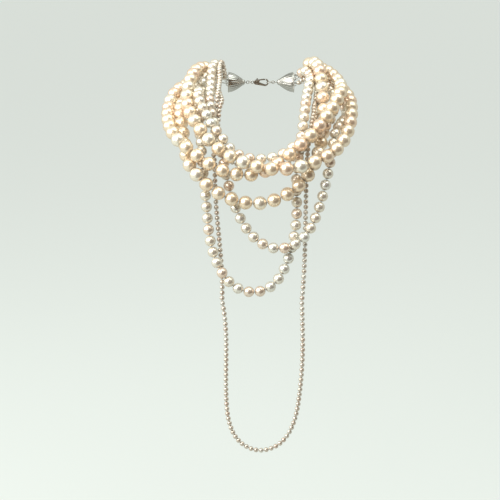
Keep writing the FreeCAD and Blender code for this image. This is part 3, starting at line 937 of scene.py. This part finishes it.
def milgrain_tree(grain_level: int = 2) -> GeometryGraph:
    """Make the tree that sets a ring of round grains on the rim of its host shell.

    Args:
        grain_level: How finely a grain is rounded.

    Returns:
        The finished tree.
    """
    graph = GeometryGraph("milgrain_rim", [
        ("Grain Count", "Int"), ("Grain Radius", "Float"), ("Rim Radius", "Float"), ("Rim Place", "Vector")])
    circle = graph.add("GeometryNodeMeshCircle", {"fill_type": "NONE"},
                       {"Vertices": graph.given("Grain Count"), "Radius": graph.given("Rim Radius")})
    grain = graph.add("GeometryNodeMeshIcoSphere", {},
                      {"Radius": graph.given("Grain Radius"), "Subdivisions": grain_level})
    grains = graph.add("GeometryNodeInstanceOnPoints", {},
                       {"Points": circle.outputs["Mesh"], "Instance": grain.outputs["Mesh"]})
    upright = graph.add("GeometryNodeTransform", {}, {
        "Geometry": grains.outputs["Instances"], "Translation": graph.given("Rim Place"),
        "Rotation": (0.0, math.pi / 2, 0.0)})
    return graph.close(graph.joined(graph.given("Geometry"), upright.outputs["Geometry"]))


@dataclass(frozen=True)
class Kit:
    """The patterns and trees that all strands share."""

    threading: GeometryGraph
    knotting: GeometryGraph
    winding: GeometryGraph
    graining: GeometryGraph
    pearls: dict[Grade, Object]
    knot: Object

    @classmethod
    def prepare(cls) -> "Kit":
        """Build every shared pattern and tree once.
        """
        holes = {grade: grade.value.hole / (grade.value.diameter / 2) for grade in Grade}
        pearls = {grade: PearlPattern(hole).build() for grade, hole in holes.items()}
        trees = (threading_tree(), silk_tree(), bullion_tree(), milgrain_tree())
        return cls(*trees, pearls, KnotPattern().build())

    def tie(self, line: Object, thread: Thread, seed: int, name: str) -> Object:
        """Twist silk along a line and tie its knots.

        Args:
            line: The line, with "axis" and "tied" on its points; it is removed.
            thread: The silk's sizes.
            seed: What the knots' spins are drawn from.
            name: The finished piece's name.

        Returns:
            The silk.
        """
        return self.knotting.run(line, {
            "Knot": self.knot, "Silk Radius": thread.radius, "Knot Radius": thread.knot,
            "Knot Thickness": thread.knot_thick, "Twist Length": thread.twist_length, "Seed": seed,
            "Material": Finish.SILK.material()}, name)

    def put_away(self) -> None:
        """Remove the patterns once every strand has its own mesh."""
        for pattern in (*self.pearls.values(), self.knot):
            bpy.data.objects.remove(pattern)


def fitted(piece: Object, node: str, stands_in: bool = True) -> None:
    """Put a finished piece on the body of a CAD node.

    Args:
        piece: The finished object.
        node: The CAD node.
        stands_in: Whether it replaces the node rather than joining it.
    """
    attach(piece, body_with(node))
    if stands_in:
        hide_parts(node)
    LOG.info("%s: %d faces on %s", piece.name, len(piece.data.polygons), body_with(node))


# ---------------------------------------------------------------- strands

@dataclass(eq=False)
class Stringing:
    """A strand's pearls in order, and where its silk ends inside the left-hand and right-hand cones."""

    pearls: list[Pearl]
    left: np.ndarray
    right: np.ndarray

    def knots(self) -> tuple[np.ndarray, np.ndarray]:
        """Where the knots sit, before, between and after the pearls, and which way the silk runs there.

        Returns:
            Knot places and unit directions, as rows.
        """
        first, last = self.pearls[0], self.pearls[-1]
        pairs = list(zip(self.pearls, self.pearls[1:]))
        gaps = [(a.end + b.start) / 2 for a, b in pairs]
        half = np.linalg.norm(gaps[0] - first.centre)
        places = np.array([first.centre - first.axis() * half, *gaps, last.centre + last.axis() * half])
        ways = [first.axis(), *(a.axis() + b.axis() for a, b in pairs), last.axis()]
        return places, np.array([way / np.linalg.norm(way) for way in ways])


@dataclass
class Strand:
    """One strand: its rows of drilled pearls, the knotted silk through them, and its bullion."""

    name: str
    grade: Grade
    seed: int
    has_drop: bool = False
    knot_draws: int = 40
    size_spread: float = 0.012
    drop_lead: float = 0.7 * MM
    wire_pitch: float = 0.30 * MM
    bend_radius: float = 1.6 * MM
    mouth_silk: float = 3.8 * MM
    bullion_in_mouth: float = 3.0 * MM
    bullion_gap: float = 0.10 * MM
    mouth_plane: float = 34.0 * MM
    mouth_reach: float = 9.0 * MM

    def build(self, kit: Kit) -> None:
        """Build all the strand's pieces and put each on its body.

        Args:
            kit: The shared patterns and trees.
        """
        nodes = [self.name + "_pearls"] + ([self.name + "_drop_pearls"] if self.has_drop else [])
        left, right = self.mouth_ends()
        pearls = in_stringing_order([pearl for node in nodes for pearl in pearls_in(node)], left)
        for node in nodes:
            self.pearl_row(kit, node, [pearl for pearl in pearls if pearl.node == node])
        strung = Stringing(pearls, left, right)
        self.silk_pieces(kit, strung)
        self.bullion(kit, strung)

    def mouth_ends(self) -> list[np.ndarray]:
        """Find where the silk ends inside the cones.

        Returns:
            The left-hand end and the right-hand end.
        """
        points, _ = welded(self.name + "_silk")
        central = np.hypot(points[:, 1], points[:, 2]) < self.mouth_reach
        ends = []
        for side in (-1, 1):
            reach = side * points[:, 0]
            ends.append(points[(reach > 0) & (reach < self.mouth_plane) & central].mean(0))
        return ends

    def pearl_row(self, kit: Kit, node: str, pearls: list[Pearl]) -> None:
        """Thread a pearl at each place that a CAD node holds.

        Args:
            kit: The shared patterns and trees.
            node: The CAD node that the row stands for.
            pearls: The pearls in it.
        """
        grade = self.grade.value
        host = host_mesh(node + "_places", [pearl.centre for pearl in pearls],
                         attributes={"axis": [pearl.axis() for pearl in pearls]})
        row = kit.threading.run(host, {
            "Pearl": kit.pearls[self.grade], "Pearl Radius": grade.diameter / 2,
            "Size Spread": self.size_spread, "Levels": grade.levels, "Seed": self.seed,
            "Material": grade.finish.material()}, node + "_row")
        fitted(row, node)

    def silk_pieces(self, kit: Kit, strung: Stringing) -> None:
        """Twist and knot the strand's silk, and the drop's as its own piece.

        Args:
            kit: The shared patterns and trees.
            strung: The strand's pearls in order.
        """
        places, ways = strung.knots()
        start = [strung.left, self.bend(strung.left)]
        finish = [self.bend(strung.right), strung.right]
        count = len(places)
        if not self.has_drop:
            self.silk(kit, self.name + "_silk", places, ways, [(start, range(count), finish)])
            return
        on_drop = [k for k, pearl in enumerate(strung.pearls) if pearl.node.endswith("_drop_pearls")]
        first, last = on_drop[0], on_drop[-1] + 1
        drop_start = [places[first] + strung.pearls[first].axis() * self.drop_lead]
        drop_finish = [places[last] - strung.pearls[last - 1].axis() * self.drop_lead]
        self.silk(kit, self.name + "_silk", places, ways,
                  [(start, range(first + 1), []), ([], range(last, count), finish)])
        self.silk(kit, self.name + "_drop_silk", places, ways,
                  [(drop_start, range(first + 1, last), drop_finish)])

    @staticmethod
    def outward(end: np.ndarray, length: float) -> np.ndarray:
        """A step of a length along X, away from the clasp on this end's side."""
        return np.array([math.copysign(length, end[0]), 0.0, 0.0])

    def bend(self, end: np.ndarray) -> np.ndarray:
        """Where the silk from a cone's mouth turns towards the shoulder."""
        return end + self.outward(end, self.mouth_silk)

    def silk(self, kit: Kit, node: str, places: np.ndarray, ways: np.ndarray,
             runs: Sequence[tuple[list, range, list]]) -> None:
        """Make one silk piece out of one or more runs.

        Args:
            kit: The shared patterns and trees.
            node: The CAD node that the piece stands for.
            places: All the strand's knot places.
            ways: The silk's direction at each.
            runs: For each run, bare points before, knot numbers, bare points after.
        """
        points: list[np.ndarray] = []
        axes: list[Sequence[float]] = []
        tied: list[float] = []
        edges: list[tuple[int, int]] = []
        for before, knots, after in runs:
            first = len(points)
            points += [*before, *(places[k] for k in knots), *after]
            axes += [UP] * len(before) + [ways[k] for k in knots] + [UP] * len(after)
            tied += [0.0] * len(before) + [1.0] * len(knots) + [0.0] * len(after)
            edges += [(k, k + 1) for k in range(first, len(points) - 1)]
        line = host_mesh(node + "_line", points, edges, {"axis": axes, "tied": tied})
        thread = self.grade.value.thread
        fitted(kit.tie(line, thread, self.seed + self.knot_draws, node + "_twist"), node)

    def bullion(self, kit: Kit, strung: Stringing) -> None:
        """Wind the fine wire that guards the bare silk at both ends.

        Args:
            kit: The shared patterns and trees.
            strung: The strand's pearls in order.
        """
        grade = self.grade.value
        places, _ = strung.knots()
        points: list[np.ndarray] = []
        for end, knot in ((strung.left, places[0]), (strung.right, places[-1])):
            bend = self.bend(end)
            way = (knot - bend) / np.linalg.norm(knot - bend)
            points += [bend - self.outward(end, self.bullion_in_mouth), bend,
                       knot - way * (grade.thread.knot_thick + self.bullion_gap)]
        host = host_mesh(self.name + "_sleeves", points, [(0, 1), (1, 2), (3, 4), (4, 5)])
        coil = kit.winding.run(host, {
            "Coil Radius": grade.bullion, "Wire Pitch": self.wire_pitch, "Bend Radius": self.bend_radius,
            "Material": Finish.BULLION.material()}, self.name + "_bullion_coil")
        fitted(coil, self.name + "_bullion")


STRANDS = (
    Strand("long_rope", Grade.SMALL, 101, has_drop=True),
    Strand("short_rope", Grade.SMALL, 107),
    Strand("medium_long", Grade.MEDIUM, 211),
    Strand("medium_short", Grade.MEDIUM, 223),
    Strand("medium_collar", Grade.MEDIUM, 227),
    Strand("large_bib", Grade.LARGE, 307),
    Strand("large_collar_under", Grade.LARGE, 311),
    Strand("large_collar_over", Grade.LARGE, 317),
)


# ---------------------------------------------------------------- nape hardware

def on_side(side: int, name: str) -> str:
    """A node's name on the left-hand side (-1) or the right-hand side (1)."""
    return ("right_" if side > 0 else "left_") + name


@dataclass
class EndCone:
    """One fluted silver bell over the gathered strand ends, with a ring of grains round its mouth."""

    side: int
    tip_x: float = 17.5 * MM
    mouth_x: float = 36.0 * MM
    tip_radius: float = 1.9 * MM
    mouth_radius: float = 11.0 * MM
    bore: float = 0.6 * MM
    wall: float = 0.7 * MM
    swell: float = 1.1
    flutes: int = 22
    flute_depth: float = 0.45 * MM
    flute_fade: float = 0.8
    flute_roundness: float = 0.6
    flute_steps: int = 6
    belts: int = 36
    collar_height: float = 0.5 * MM
    collar_share: float = 0.07
    collar_width: float = 0.025
    grains: int = 60
    grain_radius: float = 0.56 * MM
    grain_inset: float = 0.31 * MM

    @property
    def node(self) -> str:
        """The CAD node that the bell stands for."""
        return on_side(self.side, "cone")

    def groove(self, share: float, turn: float) -> float:
        """How deep a place lies in a flute, from 0 on a rib to 1 at the bottom of the flute's middle."""
        fade = math.sin(math.pi * share) ** self.flute_fade
        return fade * (1.0 - abs(math.sin(self.flutes * turn / 2)) ** self.flute_roundness)

    def outside(self, share: float, turn: float) -> float:
        """The bell's outer radius.

        Args:
            share: How far along it is, from 0 at the tip to 1 at the mouth.
            turn: The angle round its axis.

        Returns:
            The radius, drawn in between the ribs and raised at the collar behind the tip.
        """
        bell = math.sin(math.pi / 2 * share) ** self.swell
        smooth = self.tip_radius + (self.mouth_radius - self.tip_radius) * bell
        collar = self.collar_height * math.exp(-((share - self.collar_share) / self.collar_width) ** 2)
        return smooth - self.flute_depth * self.groove(share, turn) + collar

    def inside(self, share: float) -> float:
        """The bell's inner radius, smooth all round."""
        return max(self.bore, self.outside(share, math.pi / self.flutes) - self.wall)

    def shell(self) -> Object:
        """Build the fluted wall, open at the mouth and pierced at the tip.

        Returns:
            The wall, with how deep each point lies in a flute as "groove".
        """
        around = self.flutes * self.flute_steps
        length = self.mouth_x - self.tip_x
        turns = [FULL_TURN * k / around for k in range(around)]
        shares = [k / self.belts for k in range(self.belts + 1)]
        points: list[Place] = []
        rings = [add_ring(points, [self.outside(share, turn) for turn in turns], share) for share in shares]
        rings += [add_ring(points, [self.inside(share)] * around, share) for share in reversed(shares[1:])]
        rings.append(add_ring(points, [self.bore] * around, self.wall / length))
        placed = [(self.side * (self.tip_x + along * length), y, z) for y, z, along in points]
        faces = bridged(rings)
        if self.side < 0:
            faces = [face[::-1] for face in faces]
        mesh = bpy.data.meshes.new(self.node + "_shell")
        mesh.from_pydata(placed, [], faces)
        hollows = [self.groove(share, turn) for share in shares for turn in turns]
        store(mesh, "groove", hollows + [0.0] * (len(points) - len(hollows)))
        return link(bpy.data.objects.new(self.node + "_host", mesh))

    def build(self, kit: Kit) -> None:
        """Build the bell and set its grains.

        Args:
            kit: The shared patterns and trees.
        """
        bell = kit.graining.run(self.shell(), {
            "Grain Count": self.grains, "Grain Radius": self.grain_radius,
            "Rim Radius": self.mouth_radius - self.grain_inset,
            "Rim Place": (self.side * (self.mouth_x - self.grain_radius), 0.0, 0.0),
            "Material": Finish.SILVER.material()}, self.node + "_bell")
        fitted(bell, self.node)


@dataclass
class GatheringWrap:
    """The thread wound round one gathering knot, from its back over its side and across its face."""

    side: int
    pitch: float = 0.42 * MM
    thread: Thread = Thread(0.22 * MM, 0.22 * MM, 0.22 * MM, 3.6 * MM)
    back_x: float = 25.4 * MM
    face_inner: float = 2.0 * MM
    steps: int = 30

    @property
    def node(self) -> str:
        """The CAD node that is wound."""
        return on_side(self.side, "gathering_knot")

    def places(self) -> np.ndarray:
        """Lay the winding along the knot's own outline, turning as it goes.

        Returns:
            The thread's places as rows.
        """
        points, _ = welded(self.node)
        reach = np.hypot(points[:, 1], points[:, 2])
        away = np.abs(points[:, 0])
        skin = reach > self.face_inner
        outline = sorted({(round(x, 5), round(r, 5)) for x, r in zip(away[skin], reach[skin])})
        outline = [spot for spot in outline if spot[0] >= self.back_x]
        outline.append((outline[-1][0], self.face_inner))
        spots = np.array(outline)
        travel = np.concatenate([[0.0], np.cumsum(np.linalg.norm(np.diff(spots, axis=0), axis=1))])
        count = int(travel[-1] / self.pitch * self.steps)
        along = np.linspace(0.0, travel[-1], count)
        x = np.interp(along, travel, spots[:, 0])
        radius = np.interp(along, travel, spots[:, 1])
        turn = FULL_TURN * np.arange(count) / self.steps
        return np.c_[self.side * x, radius * np.cos(turn), radius * np.sin(turn)]

    def build(self, kit: Kit) -> None:
        """Wind the thread on to its knot, which stays.

        Args:
            kit: The shared patterns and trees.
        """
        places = self.places()
        count = len(places)
        line = host_mesh(self.node + "_line", places, [(k, k + 1) for k in range(count - 1)],
                         {"axis": np.tile(UP, (count, 1)), "tied": np.zeros(count)})
        fitted(kit.tie(line, self.thread, 0, self.node + "_wrap"), self.node, stands_in=False)


@dataclass
class NapeHardware:
    """The metal and silk that join the strands at the nape."""

    silver: tuple[str, ...] = ("left_eye_pin", "right_eye_pin", "jump_rings", "clasp_ring", "clasp_body",
                               "clasp_trigger", "clasp_rivet")
    silk: tuple[str, ...] = ("left_gathering_knot", "right_gathering_knot")
    spring: tuple[str, ...] = ("trigger_spring",)

    def build(self, kit: Kit) -> None:
        """Build the bells and the windings, and give each CAD node that stays its finish.

        Args:
            kit: The shared patterns and trees.
        """
        for side in (-1, 1):
            EndCone(side).build(kit)
            GatheringWrap(side).build(kit)
        finishes = {Finish.SILVER: self.silver, Finish.SILK: self.silk, Finish.SPRING: self.spring}
        for finish, nodes in finishes.items():
            for node in nodes:
                slots = frame["nodes"][node].data.materials
                slots.clear()
                slots.append(finish.material())
                LOG.info("%s: %s", node, finish.value.name)


# ---------------------------------------------------------------- studio

@dataclass(frozen=True)
class Lamp:
    """One round soft lamp: where it hangs from the middle of the necklace, its width, and its light."""

    name: str
    place: Place
    width: float
    watts: float
    colour: Colour

    def hang(self, target: Vector) -> None:
        """Put the lamp up.

        Args:
            target: The place that it faces.
        """
        data = bpy.data.lights.new(self.name, "AREA")
        data.shape = "DISK"
        data.size = self.width
        data.energy = self.watts
        data.color = self.colour
        lamp = link(bpy.data.objects.new(self.name, data))
        lamp.location = target + Vector(self.place)
        lamp.rotation_euler = (-Vector(self.place)).to_track_quat("-Z", "Y").to_euler()


@dataclass
class Studio:
    """The camera, the soft light, and the pale floor and backdrop."""

    target: Vector = Vector((-0.012, -0.180, -0.140))
    tilt: float = 15.5
    distance: float = 1.5
    lens: float = 108.0
    view_depth: float = 30.0
    pale: Colour = (0.84, 0.89, 0.83)
    floor_drop: float = 0.12
    floor_radius: float = 8.0
    floor_sides: int = 96
    floor_tone: float = 0.24
    floor_glow: float = 0.70
    sky_glow: float = 0.79
    even_light: float = 0.42
    even_colour: Colour = (0.94, 0.97, 1.0)
    flag_away: float = 0.42
    flag_edges: tuple[float, float, float, float] = (-0.12, 1.0, -0.30, 1.40)
    flag_return: float = -0.15
    flag_colour: Colour = (0.08, 0.07, 0.06)
    # Warm glow of the dark flag: a painted reflection, seen only in the pearls' gloss.
    flag_reflection_glow: Colour = (0.10, 0.05, 0.018)
    lamps: tuple[Lamp, ...] = (
        Lamp("key", (-0.64, -0.52, 0.58), 1.05, 11.0, (1.0, 0.985, 0.97)),
        Lamp("left_wall", (-1.4, -0.1, 0.60), 1.2, 12.0, (0.95, 1.0, 0.98)),
        Lamp("overhead", (0.34, -0.16, 1.05), 1.2, 10.0, (0.92, 1.0, 0.97)),
    )

    def build(self) -> None:
        """Build everything that isn't the necklace."""
        self.camera()
        self.floor()
        self.flag()
        for lamp in self.lamps:
            lamp.hang(self.target)
        self.sky()

    def camera(self) -> None:
        """Place the camera a little above the collar, looking slightly down."""
        data = bpy.data.cameras.new("camera")
        data.lens = self.lens
        data.clip_end = self.view_depth
        eye = link(bpy.data.objects.new("camera", data))
        lean = math.radians(self.tilt)
        away = Vector((0.0, -self.distance * math.cos(lean), self.distance * math.sin(lean)))
        eye.location = self.target + away
        eye.rotation_euler = (math.radians(90.0 - self.tilt), 0.0, 0.0)
        bpy.context.scene.camera = eye

    def floor(self) -> None:
        """Lay a wide round floor below the necklace; seen, it is as pale as the surroundings."""
        low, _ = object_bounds()
        points: list[Place] = []
        ring = add_ring(points, [self.floor_radius] * self.floor_sides, low.z - self.floor_drop)
        mesh = bpy.data.meshes.new("floor")
        mesh.from_pydata(points, [], [ring])
        plate = link(bpy.data.objects.new("floor", mesh))
        graph = ShaderGraph("pale_floor")
        mesh.materials.append(graph.surface({
            "Base Color": opaque(shade(self.pale, self.floor_tone)), "Roughness": 0.8,
            "Specular IOR Level": 0.1, "Emission Color": opaque(self.pale),
            "Emission Strength": self.seen(graph) * self.floor_glow}))
        plate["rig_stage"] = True

    @staticmethod
    def seen(graph: NodeGraph) -> Number:
        """Tell a surface that is looked at from one that lights others.

        Args:
            graph: The surface's tree.

        Returns:
            1 where the eye, a gloss or a clear piece looks at it, and 0 for the light that it gives.
        """
        path = graph.add("ShaderNodeLightPath").outputs
        either = Number(graph, path["Is Camera Ray"]).maximum(path["Is Glossy Ray"])
        return either.maximum(path["Is Transmission Ray"])

    def flag(self) -> None:
        """Hang a dark sheet in front and round to the right, unseen by the camera and seen only in gloss; its
        warm glow paints the deep warm reflection in each pearl.
        """
        mesh = bpy.data.meshes.new("dark_flag")
        left, right, bottom, top = self.flag_edges
        posts = [(left, -self.flag_away), (right, -self.flag_away), (right, self.flag_return)]
        corners = [self.target + Vector((x, y, z)) for z in (bottom, top) for x, y in posts]
        mesh.from_pydata([tuple(corner) for corner in corners], [], [(0, 1, 4, 3), (1, 2, 5, 4)])
        cloth = link(bpy.data.objects.new("dark_flag", mesh))
        cloth.visible_camera = False
        cloth.visible_diffuse = False
        cloth.visible_shadow = False
        # Dark sheet with a warm glow, seen only in gloss: a painted dark reflection in each pearl.
        mesh.materials.append(ShaderGraph("dark_cloth").surface({
            "Base Color": opaque(self.flag_colour), "Roughness": 0.9, "Specular IOR Level": 0.1,
            "Emission Color": opaque(self.flag_reflection_glow), "Emission Strength": 1.0}))
        cloth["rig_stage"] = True

    def sky(self) -> None:
        """Set the pale surroundings that the camera and the gloss see, and their even light."""
        world = bpy.data.worlds.new("surroundings")
        world.use_nodes = True
        bpy.context.scene.world = world
        world.node_tree.nodes.clear()
        graph = NodeGraph(world.node_tree)
        lights = ((self.even_colour, self.even_light), (self.pale, self.sky_glow))
        even, pale = (graph.add("ShaderNodeBackground", {}, {"Color": opaque(colour), "Strength": strength})
                      for colour, strength in lights)
        both = graph.add("ShaderNodeMixShader", {},
                         {0: self.seen(graph), 1: even.outputs[0], 2: pale.outputs[0]})
        graph.add("ShaderNodeOutputWorld", {}, {"Surface": both.outputs[0]})
        bpy.context.scene.view_settings.view_transform = "Standard"


def main() -> None:
    """Build the necklace's looks on the frame, strand by strand, then the studio."""
    logging.basicConfig(level=logging.INFO, format="%(name)s: %(message)s")
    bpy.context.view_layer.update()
    kit = Kit.prepare()
    for strand in STRANDS:
        strand.build(kit)
    NapeHardware().build(kit)
    kit.put_away()
    Studio().build()


if __name__ == "__main__":
    main()
